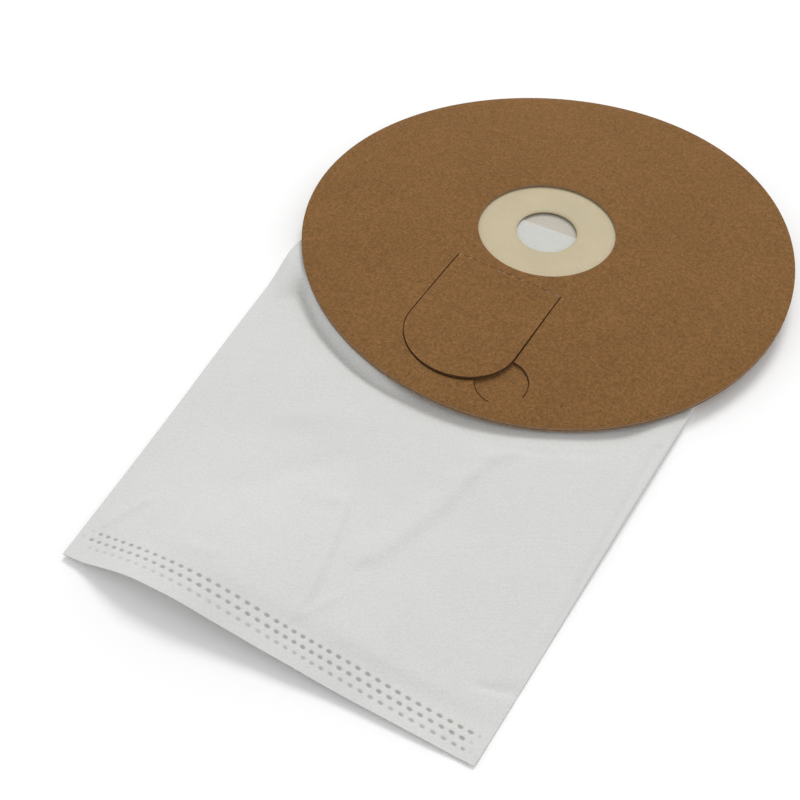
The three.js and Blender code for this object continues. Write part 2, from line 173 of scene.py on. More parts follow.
# Folds of the front cloth, in millimetres: points along it, height, and how far it reaches
# at its start and end to the left, and then to the right, of the way along it
FOLDS = (
    (
        ((3.8, -273), (4.2, -258), (3.0, -249), (-1.5, -228), (-6.5, -209)),
        1.4, (1.8, 8.0), (0.9, 1.6),
    ),
    (((3.8, -273), (14.0, -253)), 0.7, (1.4, 2.4), (1.0, 2.2)),
    (((-18.0, -205.5), (-10.0, -207.5)), 0.6, (1.4, 2.0), (1.4, 2.0)),
    (((-26.0, -216), (-17.8, -215), (-10.0, -212)), -0.7, (3.0, 1.8), (3.0, 1.8)),
    (((19.5, -164.5), (27.3, -171.6)), 0.5, (1.3, 1.8), (1.3, 1.8)),
    (
        ((50, -139.5), (37.7, -153), (33, -171), (32, -182), (23.7, -207.6), (17, -226)),
        1.75, (3.0, 4.2), (6.0, 8.0),
    ),
    (((22, -168), (38, -154)), -0.5, (2.5, 2.5), (2.5, 2.5)),
    (((-44, -206), (-20, -184)), -0.4, (4.0, 5.0), (4.0, 5.0)),
    (((-98.8, -271), (-93.8, -259.8), (-88.9, -250)), 1.1, (1.4, 2.4), (1.4, 2.4)),
    (((-59, -264), (-42, -263)), 0.5, (2.5, 3.0), (2.5, 3.0)),
    (((84, -258), (98, -254)), -1.1, (1.4, 2.2), (1.4, 2.2)),
    (((-62, -234), (-32, -195)), -0.6, (8.0, 9.0), (8.0, 9.0)),
    (((-66, -178), (-34, -161)), 0.6, (4.0, 6.0), (4.0, 6.0)),
    (((101.2, -236), (103.3, -177), (105.3, -135), (106.5, -105)), -0.9, (1.1, 1.6), (1.1, 1.6)),
    (((-60, -120), (-66, -210)), 0.6, (12.0, 12.0), (12.0, 12.0)),
)


def smooth(value, low, high):
    """Smooth step from 0 at low to 1 at high."""
    t = np.clip((value - low) / (high - low), 0, 1)
    return t * t * (3 - 2 * t)


def window(value, start, full, last_full, end):
    """0 outside start and end, 1 between the full values, smooth between."""
    return smooth(value, start, full) * (1 - smooth(value, last_full, end))


def bell(value, centre, reach):
    return np.exp(-(((value - centre) / reach) ** 2))


def mix(a, b, share):
    return a + (b - a) * share


def collar_droop(x, y):
    """Droop of the collar at a place in its own frame, in metres."""
    radius = np.hypot(x, y)
    angle = np.arctan2(y, x) - BOW_AXIS
    reach = BOW_ALONG * np.cos(angle) ** 2 + BOW_ACROSS * np.sin(angle) ** 2
    outward = np.clip((radius - BOW_FLAT_RADIUS) / (BOW_RADIUS - BOW_FLAT_RADIUS), 0, 1)
    return reach * outward ** BOW_GROWTH


def droop_over_bag(x, y):
    cos, sin = math.cos(-COLLAR_TURN), math.sin(-COLLAR_TURN)
    return collar_droop(x * cos - y * sin, x * sin + y * cos)


# Pieces made with mesh operators


def deselect_all():
    bpy.ops.object.select_all(action="DESELECT")


def choose(piece):
    deselect_all()
    piece.select_set(True)
    bpy.context.view_layer.objects.active = piece


def apply_modifier(piece, kind, **values):
    choose(piece)
    modifier = piece.modifiers.new(kind.lower(), kind)
    for name, value in values.items():
        setattr(modifier, name, value)
    bpy.ops.object.modifier_apply(modifier=modifier.name)


def ring_disc(name, radii, top, thickness, rounding, vertices):
    """A flat round board with a round window, grown ring by ring."""
    deselect_all()
    bpy.ops.mesh.primitive_circle_add(vertices=vertices, radius=radii[0], location=(0, 0, top))
    piece = bpy.context.active_object
    piece.name = piece.data.name = name
    bpy.ops.object.mode_set(mode="EDIT")
    bpy.ops.mesh.select_all(action="SELECT")
    for before, after in zip(radii, radii[1:]):
        bpy.ops.mesh.extrude_edges_move()
        grow = after / before
        bpy.ops.transform.resize(value=(grow, grow, 1), center_override=(0, 0, top))
    bpy.ops.object.mode_set(mode="OBJECT")
    bpy.ops.object.transform_apply(location=True, rotation=True, scale=True)
    if piece.data.polygons[0].normal.z < 0:
        bpy.ops.object.mode_set(mode="EDIT")
        bpy.ops.mesh.select_all(action="SELECT")
        bpy.ops.mesh.flip_normals()
        bpy.ops.object.mode_set(mode="OBJECT")
    apply_modifier(piece, "SOLIDIFY", thickness=thickness, offset=-1)
    sharp = math.radians(60)
    apply_modifier(
        piece, "BEVEL", width=rounding, segments=2, limit_method="ANGLE", angle_limit=sharp
    )
    return piece


def tube_along(name, points, height, width, reach):
    """An upright blade along a path, or a round bar where its reach is 0, to cut a board with."""
    curve = bpy.data.curves.new(name, "CURVE")
    curve.dimensions = "3D"
    curve.twist_mode = "Z_UP"
    curve.extrude = reach
    curve.bevel_depth = width / 2
    curve.bevel_resolution = 2
    curve.use_fill_caps = True
    spline = curve.splines.new("POLY")
    spline.points.add(len(points) - 1)
    for place, (x, y) in zip(spline.points, points):
        place.co = (x, y, height, 1)
    blade = bpy.data.objects.new(name, curve)
    bpy.context.scene.collection.objects.link(blade)
    choose(blade)
    bpy.ops.object.convert(target="MESH")
    return bpy.context.active_object


def cut(piece, blade):
    apply_modifier(piece, "BOOLEAN", operation="DIFFERENCE", solver="EXACT", object=blade)
    bpy.data.objects.remove(blade)


def bow_down(piece, extra=None):
    """Lowers the points by the collar's droop and by extra, through a weighted Displace.

    The least droop of all the points is left out, and is returned as a lift for the whole piece.
    """
    co = np.empty(len(piece.data.vertices) * 3)
    piece.data.vertices.foreach_get("co", co)
    co = co.reshape(-1, 3)
    lower = collar_droop(co[:, 0], co[:, 1])
    if extra is not None:
        lower = lower + extra(co)
    least, most = float(lower.min()), float(lower.max())
    weights = (lower - least) / (most - least)
    group = piece.vertex_groups.new(name="bow")
    for i, weight in enumerate(weights):
        group.add([i], float(weight), "REPLACE")
    apply_modifier(
        piece, "DISPLACE", strength=-(most - least), mid_level=0, direction="Z", vertex_group="bow"
    )
    piece.vertex_groups.clear()
    return -least


def settle(piece, lift):
    """Lifts a finished collar piece and turns it to its place over the bag."""
    choose(piece)
    piece.rotation_euler.z = COLLAR_TURN
    piece.location = (COLLAR_MIDDLE.x, COLLAR_MIDDLE.y, lift)
    bpy.ops.object.transform_apply(location=True, rotation=True, scale=True)
    bpy.ops.object.shade_smooth_by_angle(angle=math.radians(35))


def arc(middle, radius, start, end, steps):
    return [
        (middle[0] + radius * math.cos(a), middle[1] + radius * math.sin(a))
        for a in np.linspace(start, end, steps)
    ]


# Materials


class Finish:
    """A node material, with a short way to add and join its nodes."""

    def __init__(self, name):
        self.material = bpy.data.materials.new(name)
        self.material.use_nodes = True
        self.tree = self.material.node_tree
        self.shader = self.tree.nodes["Principled BSDF"]
        self.place = self.add("ShaderNodeTexCoord").outputs["Object"]

    def add(self, kind, values=None, **settings):
        node = self.tree.nodes.new(kind)
        for name, value in settings.items():
            setattr(node, name, value)
        for name, value in (values or {}).items():
            if isinstance(value, bpy.types.NodeSocket):
                self.tree.links.new(value, node.inputs[name])
            else:
                node.inputs[name].default_value = value
        return node

    def noise(self, scale, detail=2.0, roughness=0.5, vector=None):
        values = {
            "Vector": vector or self.place,
            "Scale": scale,
            "Detail": detail,
            "Roughness": roughness,
        }
        return self.add("ShaderNodeTexNoise", values).outputs["Fac"]

    def moved(self, offset=(0, 0, 0), turn=(0, 0, 0), scale=(1, 1, 1), kind="POINT"):
        values = {"Vector": self.place, "Location": offset, "Rotation": turn, "Scale": scale}
        return self.add("ShaderNodeMapping", values, vector_type=kind).outputs["Vector"]

    def step(self, value, low, high, to_low=0.0, to_high=1.0):
        values = {
            "Value": value,
            "From Min": low,
            "From Max": high,
            "To Min": to_low,
            "To Max": to_high,
        }
        node = self.add("ShaderNodeMapRange", values, interpolation_type="SMOOTHSTEP")
        return node.outputs["Result"]

    def math(self, operation, a, b):
        return self.add("ShaderNodeMath", {0: a, 1: b}, operation=operation).outputs[0]

    def blend(self, share, a, b, kind="MIX"):
        node = self.add("ShaderNodeMix", data_type="RGBA", blend_type=kind)
        for index, value in ((0, share), (6, a), (7, b)):
            if isinstance(value, bpy.types.NodeSocket):
                self.tree.links.new(value, node.inputs[index])
            else:
                node.inputs[index].default_value = value
        return node.outputs[2]

    def tinted(self, tone, tint):
        return self.blend(1.0, tone, (*tint, 1.0), "MULTIPLY")

    def bump(self, height, distance, strength):
        values = {"Height": height, "Distance": distance, "Strength": strength}
        return self.add("ShaderNodeBump", values).outputs["Normal"]

    def wear(self, color, roughness, gloss, normal=None, sheen=0.0):
        self.join(color, "Base Color")
        self.join(roughness, "Roughness")
        if normal:
            self.join(normal, "Normal")
        self.shader.inputs["Specular IOR Level"].default_value = gloss
        self.shader.inputs["Sheen Weight"].default_value = sheen
        return self.material

    def join(self, value, name):
        if isinstance(value, bpy.types.NodeSocket):
            self.tree.links.new(value, self.shader.inputs[name])
        else:
            self.shader.inputs[name].default_value = value


def rgba(color, factor=1.0):
    return (*(channel * factor for channel in color), 1.0)


def kraft_finish(settings, crease=None):
    """Grey-brown kraft board: mottled fine fibres, dark specks and a few pale ones."""
    f = Finish("kraft board")
    base = settings.board_color
    fibre = f.noise(700, 4, 0.7)
    tone = f.blend(f.step(fibre, 0.3, 0.7), rgba(base, 0.77), rgba(base, 1.25))
    tint = f.noise(230, 3, 0.6, f.moved(offset=(0.4, 0.1, 0)))
    hue = f.blend(f.step(tint, 0.35, 0.65), (0.96, 0.965, 0.95, 1), (1.04, 1.035, 1.05, 1))
    tone = f.blend(1.0, tone, hue, "MULTIPLY")
    cloudy = f.noise(26, 3, 0.5)
    tone = f.blend(f.step(cloudy, 0.35, 0.7), tone, f.tinted(tone, (0.95, 0.94, 0.93)))
    long_fibres = f.noise(560, 2, 0.5, f.moved(turn=(0, 0, 0.6), scale=(1, 3, 1), kind="TEXTURE"))
    tone = f.blend(f.step(long_fibres, 0.65, 0.73, 0, 0.42), tone, rgba(base, 0.55))
    specks = f.noise(520, 1, 0.5, f.moved(offset=(0.7, 0.3, 0)))
    tone = f.blend(f.step(specks, 0.71, 0.76, 0, 0.65), tone, rgba(settings.speck_color))
    pale = f.noise(620, 1, 0.5, f.moved(offset=(0.2, 0.9, 0.4)))
    tone = f.blend(f.step(pale, 0.69, 0.75, 0, 0.4), tone, rgba(base, 1.75))
    if crease is not None:
        tone = torn_crease(f, tone, rgba(settings.edge_color, 1.1), *crease)
    normal = f.bump(fibre, 0.00012, 0.6)
    return f.wear(tone, f.step(fibre, 0.2, 0.8, 0.82, 0.94), 0.1, normal)


def torn_crease(f, tone, pale, distance, half):
    """Pale torn fibres along the flap's crease, which lies across the collar's own Y axis."""
    raggedness, shift, core, fringe = 2.2 * MM, 0.35 * MM, 0.18 * MM, 0.5 * MM
    own = f.moved(offset=tuple(COLLAR_MIDDLE), turn=(0, 0, COLLAR_TURN), kind="TEXTURE")
    axes = f.add("ShaderNodeSeparateXYZ", {"Vector": own}).outputs
    ragged = f.noise(420, 2, 0.6, f.moved(offset=(0.5, 0.5, 0)))
    drift = f.math("MULTIPLY", f.math("SUBTRACT", ragged, 0.5), raggedness)
    off = f.math("ABSOLUTE", f.math("ADD", f.math("ADD", axes["Y"], distance + shift), drift), 0)
    near = f.step(off, core, fringe, 1, 0)
    inside = f.step(f.math("ABSOLUTE", axes["X"], 0), half - 0.8 * MM, half, 1, 0)
    patchy = f.step(f.noise(260, 1, 0.5, f.moved(offset=(0.1, 0.6, 0))), 0.42, 0.6)
    share = f.math("MULTIPLY", f.math("MULTIPLY", near, inside), patchy)
    return f.blend(f.math("MULTIPLY", share, 0.8), tone, pale)


def board_edge_finish(name, color):
    """The cut edge of the board: pressed plies, with a few pale nicks."""
    f = Finish(name)
    plies = f.noise(300, 3, 0.6, f.moved(scale=(1, 1, 16)))
    tone = f.blend(f.step(plies, 0.35, 0.65), rgba(color, 0.75), rgba(color, 1.3))
    nicks = f.noise(90, 2, 0.6, f.moved(offset=(0.3, 0.3, 0)))
    tone = f.blend(f.step(nicks, 0.66, 0.72, 0, 0.7), tone, rgba(color, 2.2))
    return f.wear(tone, 0.95, 0.15, f.bump(plies, 0.0001, 0.6))


def seal_finish(settings):
    """Cream rubber sheet, slightly uneven and satin."""
    f = Finish("cream rubber")
    cloudy = f.noise(40, 3, 0.5)
    grain = f.noise(1500, 2, 0.5)
    color = settings.seal_color
    tone = f.blend(f.step(cloudy, 0.3, 0.7), rgba(color, 0.95), rgba(color, 1.05))
    tone = f.blend(f.step(grain, 0.3, 0.7, 0, 0.5), tone, rgba(color, 0.94))
    return f.wear(tone, f.step(grain, 0.2, 0.8, 0.5, 0.62), 0.4, f.bump(grain, 0.00003, 0.4))


def cloth_finish(settings):
    """White calendered non-woven: matt, with fine bonded fibres and greyer weld dashes, and painted
    shade on the cloth seen through the hose hole.
    """
    f = Finish("non-woven cloth")
    color = settings.cloth_color
    fibres = f.noise(1050, 4, 0.72)
    along_fibres = f.moved(turn=(0, 0, math.radians(28)), scale=(5, 1, 1), kind="TEXTURE")
    ribs = f.noise(760, 2, 0.5, along_fibres)
    cloudy = f.noise(60, 3, 0.55)
    tone = f.blend(f.step(fibres, 0.32, 0.68), rgba(color, 0.95), rgba(color, 1.04))
    tone = f.blend(f.step(cloudy, 0.3, 0.7, 0, 0.6), tone, f.tinted(tone, (0.975, 0.975, 0.97)))
    weld = f.add("ShaderNodeAttribute", attribute_name="weld").outputs["Fac"]
    pressed = f.step(f.math("ADD", weld, f.step(fibres, 0.3, 0.7, -0.12, 0.12)), 0.05, 1.0)
    tone = f.blend(pressed, tone, rgba(settings.weld_color))
    # Painted shade under the hose hole: the back cloth before its fold is darkened a little, and
    # the part beyond it is painted beige, as shade warmed by light bounced off the cream seal
    painted_hole_shade = f.add("ShaderNodeAttribute", attribute_name="painted_hole_shade").outputs["Fac"]
    tone = f.blend(f.step(painted_hole_shade, 0, 0.5), tone, f.tinted(tone, (0.89, 0.89, 0.86)))
    beige = settings.painted_hole_shade_color
    hole_shade_fleece = f.blend(f.step(fibres, 0.3, 0.7), rgba(beige, 0.92), rgba(beige, 1.06))
    tone = f.blend(f.step(painted_hole_shade, 0.5, 1), tone, hole_shade_fleece)
    height = f.math("ADD", fibres, f.math("MULTIPLY", ribs, 0.9))
    normal = f.bump(height, 0.00018, 1.0)
    return f.wear(tone, 0.95, 0.15, normal, sheen=0.15)


def paint_edges(piece, *finishes):
    """Gives a board's upright cut faces their own finish, and those of its slits a third, darker
    one, which paints the shade inside the narrow slits.
    """
    piece.data.materials.clear()
    for finish in finishes:
        piece.data.materials.append(finish)
    for polygon in piece.data.polygons:
        radius = math.hypot(polygon.center.x - COLLAR_MIDDLE.x, polygon.center.y - COLLAR_MIDDLE.y)
        edge = 2 if len(finishes) > 2 and BOW_FLAT_RADIUS < radius < BOW_RADIUS - 5 * MM else 1
        polygon.material_index = edge if abs(polygon.normal.z) < 0.8 else 0


# Settings


class CollarSettings(PropertyGroup):
    """Sizes of the board collar."""

    diameter: FloatProperty(
        name="Diameter", description="Outer diameter of both boards", default=0.27, unit="LENGTH"
    )
    opening: FloatProperty(
        name="Opening", description="Diameter of the front board's window",
        default=0.0756, unit="LENGTH",
    )
    seal_window: FloatProperty(
        name="Seal window", description="Diameter of the back board's window",
        default=0.091, unit="LENGTH",
    )
    board: FloatProperty(
        name="Board", description="Thickness of each board", default=0.0012, unit="LENGTH"
    )
    rounding: FloatProperty(
        name="Rounding", description="Rounding of the boards' cut edges",
        default=0.0002, unit="LENGTH",
    )
    flap_width: FloatProperty(
        name="Flap width", description="Width of the closing flap", default=0.0615, unit="LENGTH"
    )
    crease: FloatProperty(
        name="Crease", description="Distance of the flap's crease from the middle",
        default=0.0432, unit="LENGTH",
    )
    flap_tip: FloatProperty(
        name="Flap tip", description="Distance of the flap's tip from the middle",
        default=0.12, unit="LENGTH",
    )
    flap_round: FloatProperty(
        name="Flap round", description="Length of the flap's rounded tip",
        default=0.027, unit="LENGTH",
    )
    flap_lift: FloatProperty(
        name="Flap lift", description="How far the flap's tip stands up",
        default=0.0014, unit="LENGTH",
    )
    tab_press: FloatProperty(
        name="Tab press", description="How far the thumb tab is pressed down",
        default=0.0016, unit="LENGTH",
    )
    slit: FloatProperty(
        name="Slit", description="Width of the die-cut slits", default=0.0006, unit="LENGTH"
    )
    tab_radius: FloatProperty(
        name="Tab radius", description="Radius of the thumb tab", default=0.0135, unit="LENGTH"
    )


class SealSettings(PropertyGroup):
    """Sizes of the rubber seal."""

    diameter: FloatProperty(
        name="Diameter", description="Outer diameter of the seal", default=0.09, unit="LENGTH"
    )
    hole: FloatProperty(
        name="Hole", description="Diameter of the hose hole", default=0.0332, unit="LENGTH"
    )
    thickness: FloatProperty(
        name="Thickness", description="Thickness of the rubber", default=0.0012, unit="LENGTH"
    )


class BagSettings(PropertyGroup):
    """Sizes of the cloth bag."""

    hem_width: FloatProperty(
        name="Hem width", description="Width at the welded hem", default=0.205, unit="LENGTH"
    )
    shoulder_width: FloatProperty(
        name="Shoulder width", description="Width under the collar", default=0.233, unit="LENGTH"
    )
    end_width: FloatProperty(
        name="End width", description="Width at the far end", default=0.216, unit="LENGTH"
    )
    middle: FloatProperty(
        name="Middle", description="Height of the lying bag along its middle",
        default=0.0065, unit="LENGTH",
    )
    edge: FloatProperty(
        name="Edge", description="Height of the folded sides", default=0.0046, unit="LENGTH"
    )
    gusset: FloatProperty(
        name="Gusset", description="Depth of the side gussets", default=0.02, unit="LENGTH"
    )
    cloth: FloatProperty(
        name="Cloth", description="Thickness of the cloth", default=0.0005, unit="LENGTH"
    )
    hem_lift: FloatProperty(
        name="Hem lift", description="Share of the height of the hem's waves",
        default=1.0, min=0, max=1,
    )


class FinishSettings(PropertyGroup):
    """Colours of the pieces."""

    board_color: FloatVectorProperty(
        name="Board", description="Kraft board",
        default=(0.219, 0.1105, 0.0395), subtype="COLOR", size=3,
    )
    speck_color: FloatVectorProperty(
        name="Specks", description="Dark specks of the board",
        default=(0.08, 0.045, 0.022), subtype="COLOR", size=3,
    )
    edge_color: FloatVectorProperty(
        name="Cut edge", description="Cut edge of the boards",
        default=(0.27, 0.185, 0.12), subtype="COLOR", size=3,
    )
    # Painted shade: the slits' cut faces are the same board as the cut edge, painted darker for the
    # shade inside the narrow slits
    slit_shade_color: FloatVectorProperty(
        name="Slits", description="Cut faces of the slits",
        default=(0.1, 0.05, 0.022), subtype="COLOR", size=3,
    )
    seal_color: FloatVectorProperty(
        name="Seal", description="Cream rubber",
        default=(0.492, 0.413, 0.26), subtype="COLOR", size=3,
    )
    cloth_color: FloatVectorProperty(
        name="Cloth", description="White cloth",
        default=(0.683, 0.685, 0.67), subtype="COLOR", size=3,
    )
    weld_color: FloatVectorProperty(
        name="Weld", description="Pressed weld dashes",
        default=(0.37, 0.37, 0.345), subtype="COLOR", size=3,
    )
    # Painted shade: the beige of the cloth seen through the hose hole, standing for shade warmed by
    # light bounced off the seal
    painted_hole_shade_color: FloatVectorProperty(
        name="Lining", description="Beige inside of the cloth",
        default=(0.535, 0.495, 0.428), subtype="COLOR", size=3,
    )


class StageSettings(PropertyGroup):
    """Floor, light and camera."""

    floor_color: FloatVectorProperty(
        name="Floor", description="Floor and backdrop",
        default=(1.0, 1.0, 1.0), subtype="COLOR", size=3,
    )
    sky: FloatProperty(name="Sky", description="Strength of the even light", default=0.72)
    key: FloatProperty(
        name="Key", description="Power of the soft lamp behind the bag", default=257.0, unit="POWER"
    )
    lens: FloatProperty(name="Lens", description="Focal length in millimetres", default=54.0)
    camera_place: FloatVectorProperty(
        name="Camera place", description="Where the camera stands",
        default=(0.163798, -0.405587, 0.455418), subtype="TRANSLATION", size=3,
    )
    camera_turn: FloatVectorProperty(
        name="Camera turn", description="Rotation of the camera",
        default=tuple(math.radians(a) for a in (40.7873, -0.716, 28.4826)), subtype="EULER", size=3,
    )
    fineness: IntProperty(
        name="Fineness", description="Segments round the collar", default=224, min=48, max=512
    )


# Collar pieces


def board_rings(inner, outer):
    """Radii of a board's mesh rings: one where the bow starts, and even ones out to the rim."""
    rings = [inner, BOW_FLAT_RADIUS] if inner < BOW_FLAT_RADIUS else [inner]
    count = 18
    start = rings[-1]
    return rings + [mix(start, outer, i / count) for i in range(1, count + 1)]


def flap_path(collar):
    """The flap's slit: down one side, round the tip and up the other side."""
    half = collar.flap_width / 2
    start = collar.flap_round - collar.flap_tip
    sides = np.linspace(-collar.crease, start, 14)
    tip = [
        (half * math.cos(a), start + collar.flap_round * math.sin(a))
        for a in np.linspace(math.pi, 2 * math.pi, 41)
    ]
    down = [(-half, float(y)) for y in sides[:-1]]
    up = [(half, float(y)) for y in sides[::-1][1:]]
    return down + tip + up


def in_flap(collar, x, y):
    half = collar.flap_width / 2
    start = collar.flap_round - collar.flap_tip
    in_tip = np.hypot(x / half, (y - start) / collar.flap_round) < 1
    return (np.abs(x) < half) & (y < -collar.crease) & ((y > start) | in_tip)


def tab_paths(collar):
    """The thumb tab's two arcs, which start in the flap's slit and stop short of each other."""
    half = collar.flap_width / 2
    middle = (half + TAB_PAST_FLAP, TAB_FROM_TIP - collar.flap_tip)
    start = collar.flap_round - collar.flap_tip
    to_flap = math.atan2(start - middle[1], -middle[0])
    paths = []
    for end in TAB_ENDS:
        angles = np.linspace(end, to_flap % (2 * math.pi), 600)
        x = middle[0] + collar.tab_radius * np.cos(angles)
        y = middle[1] + collar.tab_radius * np.sin(angles)
        free = angles[~in_flap(collar, x, y)]
        paths.append(arc(middle, collar.tab_radius, end, float(free[-1]), 22))
    return middle, paths


class DUSTBAG_OT_front_board(Operator):
    """Cuts the flap, its crease and the thumb tab in the front board, and bows it"""

    bl_idname = "dust_bag.front_board"
    bl_label = "Front board"

    def execute(self, context):
        collar = context.scene.dust_bag_collar
        stage = context.scene.dust_bag_stage
        top = BOARD_BOX[1].z
        board = ring_disc(
            "collar_front_board",
            board_rings(collar.opening / 2, collar.diameter / 2),
            top,
            collar.board,
            collar.rounding,
            stage.fineness,
        )
        middle, arcs = tab_paths(collar)
        paths = [flap_path(collar), *arcs]
        for path in paths:
            cut(board, tube_along("scoop", path, top + SCOOP_HEIGHT, SCOOP_WIDTH, 0))
        for path in paths:
            cut(board, tube_along("blade", path, top, collar.slit, 3 * collar.board))
        count = int((collar.flap_width - CREASE_MARGIN) / PERFORATION_STEP)
        for i in range(count):
            x = (i - (count - 1) / 2) * PERFORATION_STEP
            points = [(x + side * PERFORATION_HALF, -collar.crease) for side in (-1, 1)]
            cut(board, tube_along("perforation", points, top, PERFORATION_WIDTH, 3 * collar.board))

        def spring(co):
            """The flap stands up a little at its tip, and the tab beside it is pressed down."""
            x, y = co[:, 0], co[:, 1]
            flap = in_flap(collar, x, y)
            along = np.clip((-collar.crease - y) / (collar.flap_tip - collar.crease), 0, 1)
            lift = collar.flap_lift * along ** 1.5 * (1 + FLAP_TWIST * x / collar.flap_width)
            tab = ~flap & (np.hypot(x - middle[0], y - middle[1]) < collar.tab_radius)
            out_x, out_y = math.cos(TAB_OUTWARD), math.sin(TAB_OUTWARD)
            away = (x - middle[0]) * out_x + (y - middle[1]) * out_y
            press = collar.tab_press * smooth(-away, -collar.tab_radius, collar.tab_radius)
            return np.where(flap, -lift, np.where(tab, press, 0))

        settle(board, bow_down(board, spring))
        finish = context.scene.dust_bag_finish
        face = kraft_finish(finish, (collar.crease, collar.flap_width / 2))
        edge = board_edge_finish("board cut edge", finish.edge_color)
        # The slits' cut faces get a darker finish: painted shade inside the slits
        paint_edges(board, face, edge, board_edge_finish("board slits in painted shade", finish.slit_shade_color))
        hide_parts("front_board")
        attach(board, "root")
        return {"FINISHED"}


class DUSTBAG_OT_back_board(Operator):
    """Makes the bowed back board with its wider window"""

    bl_idname = "dust_bag.back_board"
    bl_label = "Back board"

    def execute(self, context):
        collar = context.scene.dust_bag_collar
        stage = context.scene.dust_bag_stage
        finish = context.scene.dust_bag_finish
        board = ring_disc(
            "collar_back_board",
            board_rings(collar.seal_window / 2, collar.diameter / 2),
            MOUTH_TOP + GLUE_LINE + collar.board,
            collar.board,
            collar.rounding,
            stage.fineness,
        )
        settle(board, bow_down(board))
        edge = board_edge_finish("back board cut edge", finish.edge_color)
        paint_edges(board, kraft_finish(finish), edge)
        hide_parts("back_board")
        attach(board, "root")
        return {"FINISHED"}


class DUSTBAG_OT_seal(Operator):
    """Makes the bowed rubber seal with its thin lip round the hose hole"""

    bl_idname = "dust_bag.seal"
    bl_label = "Rubber seal"

    def execute(self, context):
        seal = context.scene.dust_bag_seal
        stage = context.scene.dust_bag_stage
        hole, outer = seal.hole / 2, seal.diameter / 2
        top = SEAL_BOX[1].z
        low = top - seal.thickness
        lip = [hole, hole + 1.2 * MM, hole + LIP_REACH, hole + 6 * MM]
        rings = [*lip, 36 * MM, BOW_FLAT_RADIUS, outer - 1 * MM, outer]
        sides = stage.fineness // 2
        piece = ring_disc("hose_seal", rings, top, seal.thickness, LIP_ROUNDING, sides)

        def thin_lip(co):
            """The rubber thins and dips towards the hole."""
            radius = np.hypot(co[:, 0], co[:, 1])
            near = 1 - smooth(radius, hole, hole + LIP_REACH)
            return np.where(co[:, 2] > (top + low) / 2, LIP_THINNING * near ** 2, 0)

        settle(piece, bow_down(piece, thin_lip))
        piece.data.materials.clear()
        piece.data.materials.append(seal_finish(context.scene.dust_bag_finish))
        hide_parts("rubber_seal")
        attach(piece, "root")
        return {"FINISHED"}


# The cloth bag


def half_width(bag, y):
    taper = np.interp(y, [HEM, SHOULDER], [bag.hem_width, bag.shoulder_width]) / 2
    far = mix(bag.shoulder_width, bag.end_width, smooth(y, SHOULDER, FAR_END)) / 2
    return np.where(y < SHOULDER, taper, far)


def fill_share(y):
    """0 in a welded end, 1 where the bag has opened out."""
    from_hem = smooth(y, HEM + WELD_BAND, HEM + WELD_BAND + HEM_RISE)
    return from_hem * (1 - smooth(y, FAR_END - END_RISE, FAR_END - END_SEAM))


def through_points(heights, share):
    """Height at a share of the way along even points, by a Catmull-Rom spline."""
    count = len(heights) - 1
    first = np.minimum(np.floor(share * count), count - 1).astype(int)
    t = share * count - first
    a, b, c, d = (np.take(heights, np.clip(first + k, 0, count)) for k in (-1, 0, 1, 2))
    v, w = (c - a) / 2, (d - b) / 2
    return (2 * b - 2 * c + v + w) * t ** 3 + (3 * c - 3 * b - 2 * v - w) * t ** 2 + v * t + b


def hem_wave(bag, x, y):
    """Height of the hem's waves at a place, dying out along the bag."""
    share = np.clip((x - HEM_WAVE_FROM) / (HEM_WAVE_TO - HEM_WAVE_FROM), 0, 1)
    inward = np.clip((y - HEM) / WELD_BAND, 0, 1)
    height = mix(through_points(EDGE_WAVE, share), through_points(WELD_WAVE, share), inward)
    fade = 1 - smooth(y, HEM + WELD_BAND, HEM + HEM_WAVE_LENGTH)
    return bag.hem_lift * np.maximum(height, 0) * MM * fade


def held_share(y):
    """1 where the collar holds the cloth, 0 at the far end's seam."""
    return 1 - smooth(y, GLUED_RADIUS - 1 * MM, FAR_END - END_SEAM)


def fold_height(x, y):
    """Height that the folds of the front cloth add at a place."""
    height = np.zeros(np.broadcast(x, y).shape)
    for points, rise, left, right in FOLDS:
        strongest = np.zeros(height.shape)
        pieces = len(points) - 1
        for index, (start, end) in enumerate(zip(points, points[1:])):
            from_x, from_y = x - start[0] * MM, y - start[1] * MM
            bx, by = (end[0] - start[0]) * MM, (end[1] - start[1]) * MM
            along = np.clip((from_x * bx + from_y * by) / (bx * bx + by * by), 0, 1)
            away = np.hypot(from_x - along * bx, from_y - along * by)
            share = (index + along) / pieces
            reach = np.where(bx * from_y > by * from_x, mix(*left, share), mix(*right, share))
            close = bell(away, 0, reach * MM)
            strongest = np.maximum(strongest, close * smooth(share, -0.25, 0.35))
        height = height + rise * MM * strongest
    return height * smooth(y, HEM + 15.5 * MM, HEM + 21 * MM)


def inner_pleat(x, y):
    """The back cloth pushed up under the mouth, with one sharp fold across it."""
    bulge = PLEAT_RISE * (1 - smooth(np.hypot(x, y), 18 * MM, 44 * MM))
    step = window(y, -34 * MM, -14 * MM, 3.8 * MM, 5.6 * MM)
    return bulge + PLEAT_STEP * step * (1 - smooth(np.abs(x), 20 * MM, 40 * MM))


def bag_underside(bag, x, y):
    pinned = (1 - smooth(np.hypot(x, y), GLUED_RADIUS, ARCH_FOOT_RADIUS)) * held_share(y)
    arch = ARCH_TOP - droop_over_bag(x, y)
    return mix(hem_wave(bag, x, y), arch, pinned) + inner_pleat(x, y)


def gusset_depth(bag, y):
    return mix(SEAM_GUSSET, bag.gusset, smooth(y, HEM + WELD_BAND, HEM + 3 * WELD_BAND))


